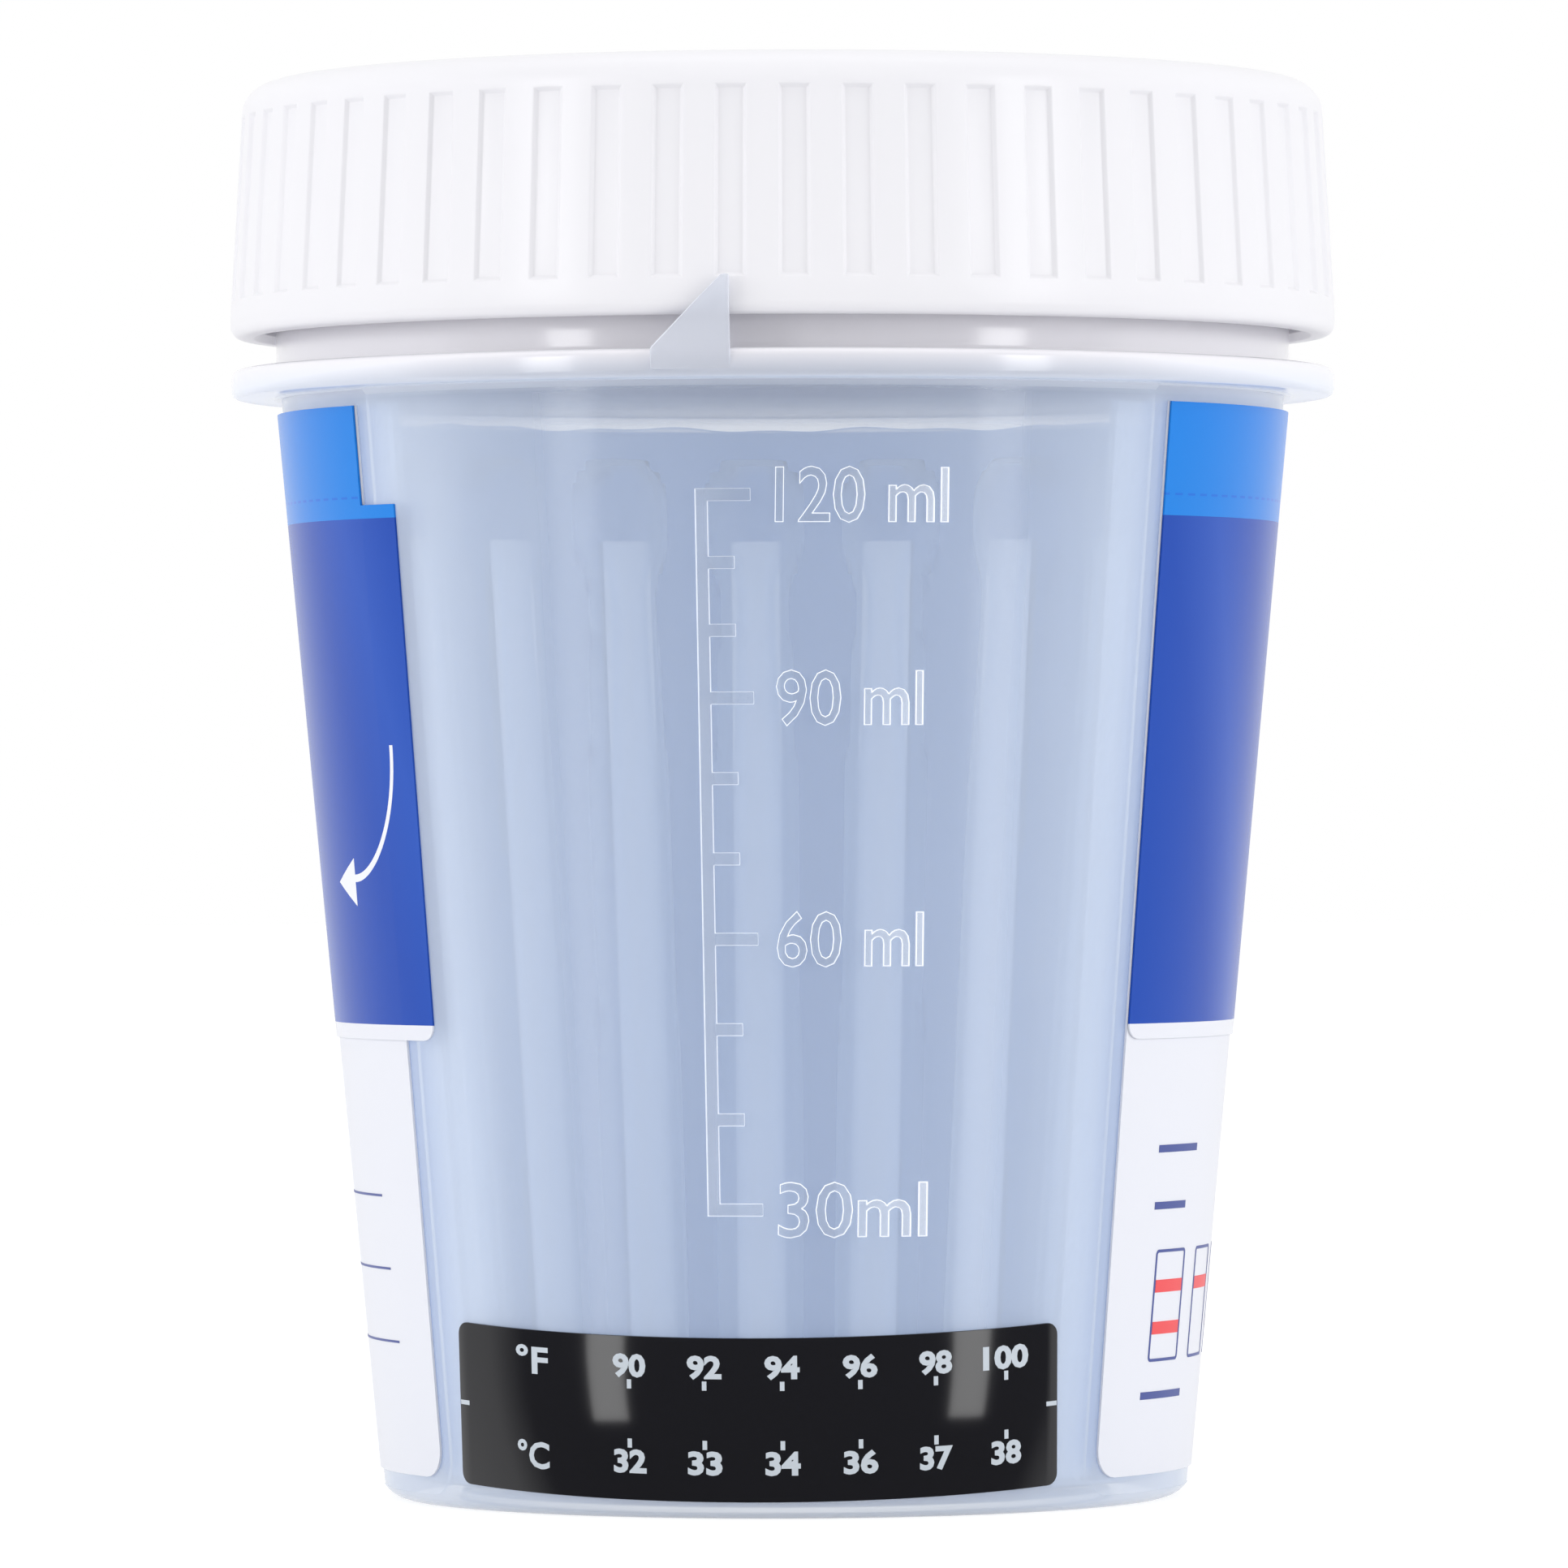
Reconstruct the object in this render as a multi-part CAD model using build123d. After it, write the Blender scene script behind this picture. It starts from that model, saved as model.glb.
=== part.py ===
import os
from math import cos, radians, sin, tan

from build123d import *

os.makedirs("parts", exist_ok=True)

# All sizes in millimetres. The cup stands on z = 0 on its own axis, and its front looks along -Y.
# Angles are degrees round the axis from the front, positive towards +X.

# Cup
cup_height = 93.4
foot_radius = 27.4
wall_taper = 5.3
wall = 1.2
base_thickness = 1.5
foot_corner = 2.0
inner_corner = 0.6
foot_rim = 5.4
foot_recess_depth = 0.6

# Collar and neck
neck_height = 18.9
neck_step = 0.09
collar_reach = 3.05
collar_thickness = 1.9
collar_edge = 0.5
neck_wall = 1.3
rim_bevel = 0.4

# Thread between neck and cap
thread_pitch = 4.0
thread_depth = 0.8
thread_root = 2.0
thread_crest = 1.0
thread_gap = 0.3
neck_thread_turns = 1.5
neck_thread_drop = 9.0
cap_thread_turns = 1.25

# Screw cap
cap_skirt = 14.8
cap_wall = 2.0
cap_band = 1.6
cap_taper = 3.4
cap_top_thickness = 1.4
cap_top_round = 2.1
cap_hem_bevel = 0.7
rib_count = 56
rib_share = 0.5
rib_depth = 0.3
rib_start = 2.4
rib_end = 14.9
liner_thickness = 1.0
liner_gap = 0.3

# Upright tab on the collar
tab_base_width = 5.2
tab_top_width = 1.3
tab_height = 4.7
tab_thickness = 0.6
tab_skirt_gap = 0.4
tab_corner = 0.3

# Raised volume scale on the front of the wall
scale_angle = -3.9
scale_bar = 0.8
scale_relief = 0.3
scale_major_length = 3.6
scale_minor_length = 2.5
scale_major_shares = [0.274, 0.511, 0.722, 0.899]
scale_steps_between = 3

# Strip holder
channel_count = 14
channel_pitch = 18.0
holder_margin = 6.0
holder_gap = 0.2
holder_wall = 0.7
holder_foot_gap = 0.5
holder_top_gap = 1.1
channel_depth = 2.6
channel_width = 5.4
channel_waist = 5.0
channel_head = 6.6
channel_neck = 4.0
channel_head_height = 5.0
channel_swell = 4.0
channel_top_gap = 2.9
channel_top_bevel = 1.6
channel_round = 1.2

# Test strips
strip_width = 3.4
strip_top_gap = 5.0
strip_card = 0.3
strip_foot_gap = 0.3
strip_back_gap = 0.3
membrane_thickness = 0.15
membrane_start = 19.0
membrane_length = 25.0
pad_overlap = 2.0
wick_thickness = 0.9
sample_pad_thickness = 0.7

# Labels and temperature strip
label_thickness = 0.2
label_recess = 0.25
label_bottom_z = 2.1
label_top_gap = 1.1
label_right = 53.5
label_left = 51.0
label_margin = 1.2
label_corner = 2.0
panel_depth = 1.0
peel_thickness = 0.15
peel_bottom_z = 31.3
peel_step = 6.6
peel_tab = 6.5
thermo_half_width = 19.5
thermo_height = 10.8
thermo_z = 1.2
thermo_thickness = 0.2
thermo_corner = 0.8

slope = tan(radians(wall_taper))
wall_across = wall / cos(radians(wall_taper))
collar_z = cup_height - neck_height
collar_top_z = collar_z + collar_thickness
neck_radius = foot_radius + collar_z * slope + neck_step
neck_inner = neck_radius - neck_wall
collar_radius = neck_radius + collar_reach
neck_thread_z = cup_height - neck_thread_drop
foot_recess_radius = foot_radius - foot_rim
cap_inner = neck_radius + thread_depth + thread_gap
cap_radius = cap_inner + cap_wall
cap_bottom_z = cup_height - cap_skirt
cap_ceiling_z = cup_height + liner_thickness
cap_top_z = cap_ceiling_z + cap_top_thickness
floor_z = base_thickness
scale_major_z = [collar_z * share for share in scale_major_shares]
holder_top_z = collar_z - holder_top_gap
channel_top_z = holder_top_z - channel_top_gap
channel_head_z = channel_top_z - channel_head_height
channel_waist_z = channel_head_z - channel_neck
strip_foot_z = floor_z + strip_foot_gap
strip_length = (channel_top_z - strip_foot_z) / cos(radians(wall_taper)) - strip_top_gap
label_top_z = collar_z - label_top_gap
peel_step_z = label_top_z - peel_step


def wall_radius(z, inset=0.0):
    """Radius of the tapered wall's outer face at height z, less an inset."""
    return foot_radius + z * slope - inset


def revolve_points(points):
    """Solid of revolution from a closed outline of (radius, z) points."""
    outline = Polyline(*points, close=True)
    return revolve(Plane.XZ * make_face(outline), Axis.Z)


def wall_plane(angle, z, inset=0.0):
    """Plane tangent to the wall: x runs round to +X, y up the wall, z outwards."""
    a = radians(angle)
    t = radians(wall_taper)
    radius = wall_radius(z, inset)
    origin = (radius * sin(a), -radius * cos(a), z)
    normal = (cos(t) * sin(a), -cos(t) * cos(a), -sin(t))
    return Plane(origin=origin, x_dir=(cos(a), sin(a), 0), z_dir=normal)


def wall_shell(low_z, high_z, inner_inset, outer_inset):
    """Full conical shell that follows the wall between two insets."""
    return revolve_points(
        [
            (wall_radius(low_z, inner_inset), low_z),
            (wall_radius(low_z, outer_inset), low_z),
            (wall_radius(high_z, outer_inset), high_z),
            (wall_radius(high_z, inner_inset), high_z),
        ]
    )


def shell_sector(low_z, high_z, inner_inset, outer_inset, start, end):
    """Part of the conical shell from the start angle round to the end angle."""
    outline = Polyline(
        (wall_radius(low_z, inner_inset), low_z),
        (wall_radius(low_z, outer_inset), low_z),
        (wall_radius(high_z, outer_inset), high_z),
        (wall_radius(high_z, inner_inset), high_z),
        close=True,
    )
    section = Plane.XZ * make_face(outline)
    return Rot(Z=start - 90) * revolve(section, Axis.Z, end - start)


def label_panel(low_z, high_z, start, end, corner):
    """Thick sector round the wall with its two lower corners rounded."""
    sector = shell_sector(low_z, high_z, panel_depth, -panel_depth, start, end)
    corners = [
        edge
        for edge in sector.edges().filter_by(GeomType.LINE)
        if edge.length < 3 * panel_depth and abs(edge.center().Z - low_z) < panel_depth / 2
    ]
    return fillet(corners, corner)


def helical_ridge(radius, depth, start_z, turns, inward):
    """Trapezoid ridge along a right-hand helix, sunk a little into the wall that carries it."""
    sink = thread_gap / 2
    way = -1 if inward else 1
    helix = Helix(thread_pitch, thread_pitch * turns, radius, center=(0, 0, start_z))
    section = Polyline(
        (radius - way * sink, start_z - thread_root / 2),
        (radius, start_z - thread_root / 2),
        (radius + way * depth, start_z - thread_crest / 2),
        (radius + way * depth, start_z + thread_crest / 2),
        (radius, start_z + thread_root / 2),
        (radius - way * sink, start_z + thread_root / 2),
        close=True,
    )
    return sweep(Plane.XZ * make_face(section), helix, is_frenet=True)


def make_cup_body():
    """Base, tapered wall, collar and neck as one revolved moulding, with thread, tab and scale."""
    outer = revolve_points(
        [
            (0, 0),
            (foot_radius, 0),
            (wall_radius(collar_z), collar_z),
            (collar_radius, collar_z),
            (collar_radius, collar_top_z),
            (neck_radius, collar_top_z),
            (neck_radius, cup_height),
            (0, cup_height),
        ]
    )
    outer = fillet(outer.edges().filter_by(GeomType.CIRCLE).group_by(Axis.Z)[0], foot_corner)
    collar_edges = [
        edge
        for edge in outer.edges().filter_by(GeomType.CIRCLE)
        if abs(edge.radius - collar_radius) < 0.01
    ]
    outer = chamfer(collar_edges, collar_edge)
    inner = revolve_points(
        [
            (0, floor_z),
            (wall_radius(floor_z, wall_across), floor_z),
            (wall_radius(collar_z, wall_across), collar_z),
            (neck_inner, collar_top_z),
            (neck_inner, cup_height),
            (0, cup_height),
        ]
    )
    inner = chamfer(inner.edges().filter_by(GeomType.CIRCLE).group_by(Axis.Z)[0], inner_corner)
    body = outer - inner
    rim_edges = body.edges().filter_by(GeomType.CIRCLE).group_by(Axis.Z)[-1]
    body = chamfer(rim_edges, rim_bevel)
    body -= Cylinder(foot_recess_radius, 2 * foot_recess_depth)
    body -= make_label_recess()
    body += helical_ridge(neck_radius, thread_depth, neck_thread_z, neck_thread_turns, False)
    body += make_tab()
    body += make_scale()
    return body


def make_label_recess():
    """Shallow panel round the back of the wall in which the printed label lies."""
    margin_deg = label_margin / radians(foot_radius)
    panel = label_panel(
        label_bottom_z - label_margin,
        collar_z,
        label_right - margin_deg,
        360 - label_left + margin_deg,
        label_corner + label_margin / 2,
    )
    return panel & wall_shell(0, collar_z, label_recess, -panel_depth)


def make_tab():
    """Thin tab that leans outwards from the collar and stands in front of the cap's hem."""
    face_radius = cap_radius + tab_skirt_gap
    lean_z = cap_bottom_z + cap_hem_bevel
    root_radius = collar_radius - tab_thickness
    side = Polyline(
        (root_radius - tab_thickness, collar_z + collar_edge),
        (root_radius + tab_thickness, collar_z + collar_edge),
        (face_radius + tab_thickness, lean_z),
        (face_radius + tab_thickness, collar_top_z + tab_height),
        (face_radius, collar_top_z + tab_height),
        (face_radius, lean_z),
        (root_radius, collar_top_z - tab_corner),
        (root_radius - tab_thickness, collar_top_z - tab_corner),
        close=True,
    )
    plate = extrude(Plane.YZ * Rot(Y=180) * make_face(side), tab_base_width, both=True)
    front = Polyline(
        (-tab_base_width, collar_z),
        (0, collar_z),
        (0, collar_top_z + tab_height),
        (-tab_top_width, collar_top_z + tab_height),
        (-tab_base_width, collar_top_z),
        close=True,
    )
    outline = extrude(Plane.XZ * make_face(front), 2 * collar_radius)
    tab = plate & outline
    tips = tab.edges().filter_by(Axis.Y).group_by(Axis.Z)[-1]
    return fillet(tips, tab_corner)


def make_scale():
    """Raised upright bar with long and short graduation bars to its right."""
    low_z = scale_major_z[0]
    high_z = scale_major_z[-1]
    mid_z = (low_z + high_z) / 2
    length = (high_z - low_z) / cos(radians(wall_taper)) + scale_bar
    thick = 2 * scale_relief
    marks = [wall_plane(scale_angle, mid_z) * Box(scale_bar, length, thick)]
    levels = []
    for lower, upper in zip(scale_major_z, scale_major_z[1:]):
        step = (upper - lower) / scale_steps_between
        levels += [(lower + step * i, i == 0) for i in range(scale_steps_between)]
    levels.append((high_z, True))
    for z, major in levels:
        reach = scale_major_length if major else scale_minor_length
        middle = scale_angle + (reach - scale_bar) / 2 / radians(wall_radius(z))
        marks.append(wall_plane(middle, z) * Box(reach, scale_bar, thick))
    return marks[0].fuse(*marks[1:])


def make_screw_cap():
    """Ribbed cap with a plain hem, a rounded top edge and a thread inside the skirt."""
    band_top = cap_bottom_z + cap_band
    taper = tan(radians(cap_taper))
    top_radius = cap_radius - (cap_top_z - band_top) * taper
    shell = revolve_points(
        [
            (0, cap_ceiling_z),
            (cap_inner, cap_ceiling_z),
            (cap_inner, cap_bottom_z),
            (cap_radius, cap_bottom_z),
            (cap_radius, band_top),
            (top_radius, cap_top_z),
            (0, cap_top_z),
        ]
    )
    rings = shell.edges().filter_by(GeomType.CIRCLE)
    top_ring = [e for e in rings if abs(e.radius - top_radius) < 0.01]
    shell = fillet(top_ring, cap_top_round)
    hem_ring = [
        e
        for e in shell.edges().filter_by(GeomType.CIRCLE)
        if abs(e.radius - cap_radius) < 0.01 and e.center().Z < band_top - 0.1
    ]
    shell = chamfer(hem_ring, cap_hem_bevel)
    middle = (rib_start + rib_end) / 2
    length = rib_end - rib_start
    face_radius = cap_radius - (middle - cap_band) * taper
    groove_width = 2 * cap_radius * sin(radians(180 / rib_count)) * (1 - rib_share)
    groove = Box(2 * rib_depth, groove_width, length)
    place = Pos(face_radius, 0, cap_bottom_z + middle) * Rot(Y=-cap_taper)
    pitch = 360 / rib_count
    grooves = [Rot(Z=pitch * i) * place * groove for i in range(rib_count)]
    cap = shell.cut(*grooves)
    start_z = neck_thread_z - thread_pitch / 2
    cap += helical_ridge(cap_inner, thread_depth, start_z, cap_thread_turns, True)
    return cap


def make_liner():
    """Flat sealing disc between the rim and the cap's ceiling."""
    disc = Cylinder(cap_inner - liner_gap, liner_thickness)
    return Pos(0, 0, cup_height + liner_thickness / 2) * disc


def channel_outline(low, shrink):
    """Bottle-shaped outline of one channel, seen from outside, made narrower by shrink all round."""
    half_body = channel_width / 2 - shrink
    half_waist = channel_waist / 2 - shrink
    half_head = channel_head / 2 - shrink
    up = 1 / cos(radians(wall_taper))
    foot_z = floor_z + holder_foot_gap
    waist = (channel_waist_z - foot_z) * up
    head = (channel_head_z - foot_z) * up
    top = (channel_top_z - foot_z) * up - shrink
    corner = channel_top_bevel - shrink / 2
    body_top = waist - (head - waist) * channel_swell
    right = [
        (half_body, low),
        (half_body, body_top),
        (half_waist, waist),
        (half_head, head),
        (half_head, top - corner),
        (half_head - corner, top),
    ]
    left = [(-x, y) for x, y in reversed(right)]
    return make_face(Polyline(*right, *left, close=True))


def make_channel():
    """Rounded bulge of one channel, from inside the land inwards."""
    start = holder_wall / 2
    bulge = extrude(channel_outline(0, 0), -(channel_depth + holder_wall - start))
    inward = bulge.faces().sort_by(Axis.Z)[0]
    rounded = inward.edges().sort_by(Axis.Y)[1:]
    return Pos(0, 0, -start) * fillet(rounded, channel_round)


def make_pocket():
    """Space inside one channel, open to the outside and at its foot."""
    outline = channel_outline(-holder_foot_gap, holder_wall)
    return extrude(outline, -channel_depth) + extrude(outline, holder_wall)


def make_strip_holder():
    """Fluted insert: a thin land against the wall with a row of channels bulging inwards."""
    foot_z = floor_z + holder_foot_gap
    half_span = channel_count * channel_pitch / 2 + holder_margin
    outer = wall_across + holder_gap
    land = shell_sector(
        foot_z, holder_top_z, outer + holder_wall, outer, 180 - half_span, 180 + half_span
    )
    planes = [wall_plane(angle, foot_z, outer) for angle in channel_angles()]
    channel = make_channel()
    pocket = make_pocket()
    holder = land.fuse(*[plane * channel for plane in planes])
    return holder.cut(*[plane * pocket for plane in planes])


def channel_angles():
    """Angles of the channels, spread evenly about the back of the cup."""
    first = 180 - channel_pitch * (channel_count - 1) / 2
    return [first + channel_pitch * i for i in range(channel_count)]


def strip_profile(points):
    """Extrude a side profile of (along the strip, height above the card) across its width."""
    side = make_face(Polyline(*points, close=True))
    across = extrude(side, strip_width / 2, both=True)
    return Rot(Y=90) * Rot(Z=90) * across


def make_strips():
    """The three layers of one test strip, in the channel's own plane."""
    card = strip_profile(
        [(0, -strip_card), (strip_length, -strip_card), (strip_length, 0), (0, 0)]
    )
    membrane_end = membrane_start + membrane_length
    membrane = strip_profile(
        [
            (membrane_start, 0),
            (membrane_end, 0),
            (membrane_end, membrane_thickness),
            (membrane_start, membrane_thickness),
        ]
    )
    sample_pad = strip_profile(
        [
            (0, 0),
            (membrane_start, 0),
            (membrane_start, membrane_thickness),
            (membrane_start + pad_overlap, membrane_thickness),
            (membrane_start + pad_overlap, sample_pad_thickness),
            (0, sample_pad_thickness),
        ]
    )
    wick = strip_profile(
        [
            (membrane_end, 0),
            (strip_length, 0),
            (strip_length, wick_thickness),
            (membrane_end - pad_overlap, wick_thickness),
            (membrane_end - pad_overlap, membrane_thickness),
            (membrane_end, membrane_thickness),
        ]
    )
    return card, membrane, Compound([sample_pad, wick])


def make_base_label():
    """Printed label that fills the recessed panel."""
    panel = label_panel(label_bottom_z, label_top_z, label_right, 360 - label_left, label_corner)
    return panel & wall_shell(0, collar_z, label_recess, label_recess - label_thickness)


def make_peel_label():
    """Cover label over the printed one; its lower part runs on past the left end as a pull tab."""
    lower = shell_sector(
        peel_bottom_z, peel_step_z, 0, -peel_thickness, label_right, 360 - label_left + peel_tab
    )
    upper = shell_sector(
        peel_step_z, label_top_z, 0, -peel_thickness, label_right, 360 - label_left
    )
    return lower + upper


def make_thermo_strip():
    """Straight strip bent round the foot, so its ends stand a little higher than its middle."""
    shell = wall_shell(0, thermo_height * 2, 0, -thermo_thickness)
    plane = wall_plane(0, thermo_z + thermo_height / 2)
    outline = RectangleRounded(2 * thermo_half_width, thermo_height, thermo_corner)
    return shell & (plane * extrude(outline, foot_radius, both=True))


export_step(make_cup_body(), "parts/cup_body.step")
export_step(make_screw_cap(), "parts/screw_cap.step")
export_step(make_liner(), "parts/cap_liner.step")
export_step(make_strip_holder(), "parts/strip_holder.step")
export_step(make_base_label(), "parts/base_label.step")
export_step(make_peel_label(), "parts/peel_label.step")
export_step(make_thermo_strip(), "parts/temperature_strip.step")

strip_inset = wall_across + holder_gap + channel_depth - strip_back_gap - strip_card
strip_layers = make_strips()
layer_names = ["card", "membrane", "pads"]
for number, angle in enumerate(channel_angles(), start=1):
    plane = wall_plane(angle, strip_foot_z, strip_inset)
    for layer, name in zip(strip_layers, layer_names):
        export_step(plane * layer, f"parts/strip_{number:02d}_{name}.step")
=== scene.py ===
import math

import bmesh
import bpy
from mathutils import Matrix, Vector


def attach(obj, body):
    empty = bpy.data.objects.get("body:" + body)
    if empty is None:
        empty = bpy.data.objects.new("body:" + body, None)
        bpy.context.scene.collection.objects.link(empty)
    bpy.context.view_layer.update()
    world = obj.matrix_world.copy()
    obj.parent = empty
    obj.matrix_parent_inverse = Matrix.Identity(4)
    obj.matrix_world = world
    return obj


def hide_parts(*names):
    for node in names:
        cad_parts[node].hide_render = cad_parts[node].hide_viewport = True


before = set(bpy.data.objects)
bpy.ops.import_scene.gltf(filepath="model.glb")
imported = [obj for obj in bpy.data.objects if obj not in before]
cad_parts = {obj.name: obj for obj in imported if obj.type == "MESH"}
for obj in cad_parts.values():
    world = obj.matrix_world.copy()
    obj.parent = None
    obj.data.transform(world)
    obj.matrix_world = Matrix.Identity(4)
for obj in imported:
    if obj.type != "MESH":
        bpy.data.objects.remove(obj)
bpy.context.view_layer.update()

# The visible pieces of a drug test cup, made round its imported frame.
# Lengths are in mm and angles in degrees, from the front (-Y) towards +X, unless a note says otherwise.
mm = 0.001
scene = bpy.context.scene

# Every label, mark and flute follows this wall
wall = {"footRadius": 27.4, "taper": 5.3, "thickness": 1.205, "collarHeight": 74.5}
wallTilt = math.radians(wall["taper"])
degreeLength = math.radians(1) * wall["footRadius"]


def wallRadius(height):
    return wall["footRadius"] + height * math.tan(wallTilt)


def onWall(angle, height, out):
    radius = wallRadius(height) + out * math.cos(wallTilt)
    turn = math.radians(angle)
    lift = height - out * math.sin(wallTilt)
    return Vector((radius * math.sin(turn), -radius * math.cos(turn), lift)) * mm


# Modelling steps that several pieces share


def focusOn(piece):
    bpy.ops.object.select_all(action="DESELECT")
    piece.select_set(True)
    bpy.context.view_layer.objects.active = piece


def startEdit(piece, mode="FACE"):
    focusOn(piece)
    bpy.ops.object.mode_set(mode="EDIT")
    bpy.ops.mesh.select_mode(type=mode)
    bpy.ops.mesh.select_all(action="DESELECT")


def endEdit():
    bpy.ops.object.mode_set(mode="OBJECT")


def pickAll():
    bpy.ops.mesh.select_all(action="SELECT")


def pickFaces(piece, wanted):
    shape = bmesh.from_edit_mesh(piece.data)
    for face in shape.faces:
        face.select_set(bool(wanted(face.calc_center_median())))
    bmesh.update_edit_mesh(piece.data)


def pickPoints(piece, wanted):
    shape = bmesh.from_edit_mesh(piece.data)
    for point in shape.verts:
        point.select_set(bool(wanted(point.co)))
    shape.select_flush(True)
    bmesh.update_edit_mesh(piece.data)


def faceOutwards():
    pickAll()
    bpy.ops.mesh.normals_make_consistent(inside=False)


def weldPoints(reach):
    pickAll()
    bpy.ops.mesh.remove_doubles(threshold=reach * mm)


def justAdded(name):
    piece = bpy.context.object
    piece.name = name
    piece.data.name = name
    return piece


def settle(piece):
    focusOn(piece)
    bpy.ops.object.transform_apply(location=True, rotation=True, scale=True)


def smoothShade(piece, angle):
    focusOn(piece)
    bpy.ops.object.shade_smooth_by_angle(angle=math.radians(angle))


def applyAll(piece):
    focusOn(piece)
    for modifier in list(piece.modifiers):
        bpy.ops.object.modifier_apply(modifier=modifier.name)


def thicken(piece, thickness, offset=1):
    shell = piece.modifiers.new("shell", "SOLIDIFY")
    shell.thickness = thickness * mm
    shell.offset = offset
    applyAll(piece)


def softenEdges(piece, width, sharperThan=30):
    soft = piece.modifiers.new("soft", "BEVEL")
    soft.width = width * mm
    soft.segments = 2
    soft.limit_method = "ANGLE"
    soft.angle_limit = math.radians(sharperThan)
    applyAll(piece)


def combine(piece, other, operation):
    change = piece.modifiers.new("change", "BOOLEAN")
    change.operation = operation
    change.object = other
    change.solver = "EXACT"
    applyAll(piece)
    bpy.data.objects.remove(other)


def joined(name, pieces):
    focusOn(pieces[0])
    for piece in pieces:
        piece.select_set(True)
    if len(pieces) > 1:
        bpy.ops.object.join()
    return justAdded(name)


def copiedRound(piece, angles):
    copies = [piece]
    for angle in angles:
        copy = piece.copy()
        copy.data = piece.data.copy()
        scene.collection.objects.link(copy)
        copy.data.transform(Matrix.Rotation(math.radians(angle), 4, "Z"))
        copies.append(copy)
    return copies


def arcRings(centre, radius, start, end, steps):
    radial, height = centre
    turns = [math.radians(start + (end - start) * i / steps) for i in range(steps + 1)]
    return [(radial + radius * math.cos(t), height + radius * math.sin(t)) for t in turns]


def turned(name, rings, segments):
    # a circle pulled ring by ring along (radius, height) steps; both ends are closed
    bpy.ops.object.select_all(action="DESELECT")
    radius, height = rings[0]
    bpy.ops.mesh.primitive_circle_add(
        vertices=segments, radius=radius * mm, fill_type="NGON", location=(0, 0, height * mm)
    )
    piece = justAdded(name)
    settle(piece)
    startEdit(piece, "EDGE")
    pickAll()
    bpy.ops.mesh.region_to_loop()
    for (oldRadius, oldHeight), (newRadius, newHeight) in zip(rings, rings[1:]):
        rise = (newHeight - oldHeight) * mm
        bpy.ops.mesh.extrude_edges_move(TRANSFORM_OT_translate={"value": (0, 0, rise)})
        ratio = newRadius / oldRadius
        bpy.ops.transform.resize(value=(ratio, ratio, 1), center_override=(0, 0, newHeight * mm))
    bpy.ops.mesh.edge_face_add()
    faceOutwards()
    endEdit()
    return piece


# Flat pieces are drawn in XY and then wrapped on the wall


def flatPlate(name, left, right, low, high, rounding=0, corners="all", thickness=0.0):
    bpy.ops.object.select_all(action="DESELECT")
    middle = ((left + right) / 2 * mm, (low + high) / 2 * mm, 0)
    bpy.ops.mesh.primitive_plane_add(size=1, location=middle)
    piece = justAdded(name)
    piece.scale = ((right - left) * mm, (high - low) * mm, 1)
    settle(piece)
    if rounding:
        startEdit(piece, "VERT")
        pickPoints(piece, lambda co: corners == "all" or co.y < middle[1])
        bpy.ops.mesh.bevel(offset=rounding * mm, segments=6, affect="VERTICES")
        endEdit()
    if thickness:
        thicken(piece, thickness)
    return piece


def flatText(words, height, width, thickness, edge=0.0, weight=0.0):
    # lettering fitted to a height and width, its middle at the origin
    bpy.ops.object.select_all(action="DESELECT")
    bpy.ops.object.text_add(location=(0, 0, 0))
    letters = justAdded("text").data
    letters.body = words
    letters.size = 10 * mm
    letters.extrude = thickness / 2 * mm
    letters.bevel_depth = edge * mm
    letters.offset = weight * mm
    letters.resolution_u = 3
    bpy.ops.object.convert(target="MESH")
    piece = justAdded("text")
    xs = [point.co.x for point in piece.data.vertices]
    ys = [point.co.y for point in piece.data.vertices]
    middle = Vector(((max(xs) + min(xs)) / 2, (max(ys) + min(ys)) / 2, 0))
    wider = width * mm / (max(xs) - min(xs))
    taller = height * mm / (max(ys) - min(ys))
    for point in piece.data.vertices:
        moved = point.co - middle
        point.co = Vector((moved.x * wider, moved.y * taller, moved.z))
    return piece


def faceUp(piece):
    startEdit(piece)
    faceOutwards()
    endEdit()
    if piece.data.polygons[0].normal.z < 0:
        piece.data.flip_normals()


def shifted(piece, right, up):
    piece.data.transform(Matrix.Translation((right * mm, up * mm, 0)))
    return piece


def sliceAcross(piece, step):
    # cuts across X, so that the flat piece can follow the round wall
    xs = [point.co.x for point in piece.data.vertices]
    low, high = min(xs), max(xs)
    count = max(1, round((high - low) / (step * mm)))
    startEdit(piece)
    for i in range(1, count):
        pickAll()
        cut = (low + (high - low) * i / count, 0, 0)
        bpy.ops.mesh.bisect(plane_co=cut, plane_no=(1, 0, 0))
    endEdit()


def wrapOnWall(piece, angle, height, straight=False, bowed=False, out=0.0):
    # X runs round the wall, Y up it and Z outwards. Straight keeps upright edges on the wall's own lines,
    # and bowed lifts the ends as a flat band's ends rise when it is laid round a cone.
    for point in piece.data.vertices:
        level = height + point.co.y / mm
        reach = wall["footRadius"] if straight else wallRadius(level)
        turn = point.co.x / mm / reach
        if bowed:
            level += wallRadius(level) * (1 - math.cos(turn)) * math.sin(wallTilt) * math.cos(wallTilt)
        point.co = onWall(angle + math.degrees(turn), level, point.co.z / mm + out)
    piece.data.update()


mapHeight = 100


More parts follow.
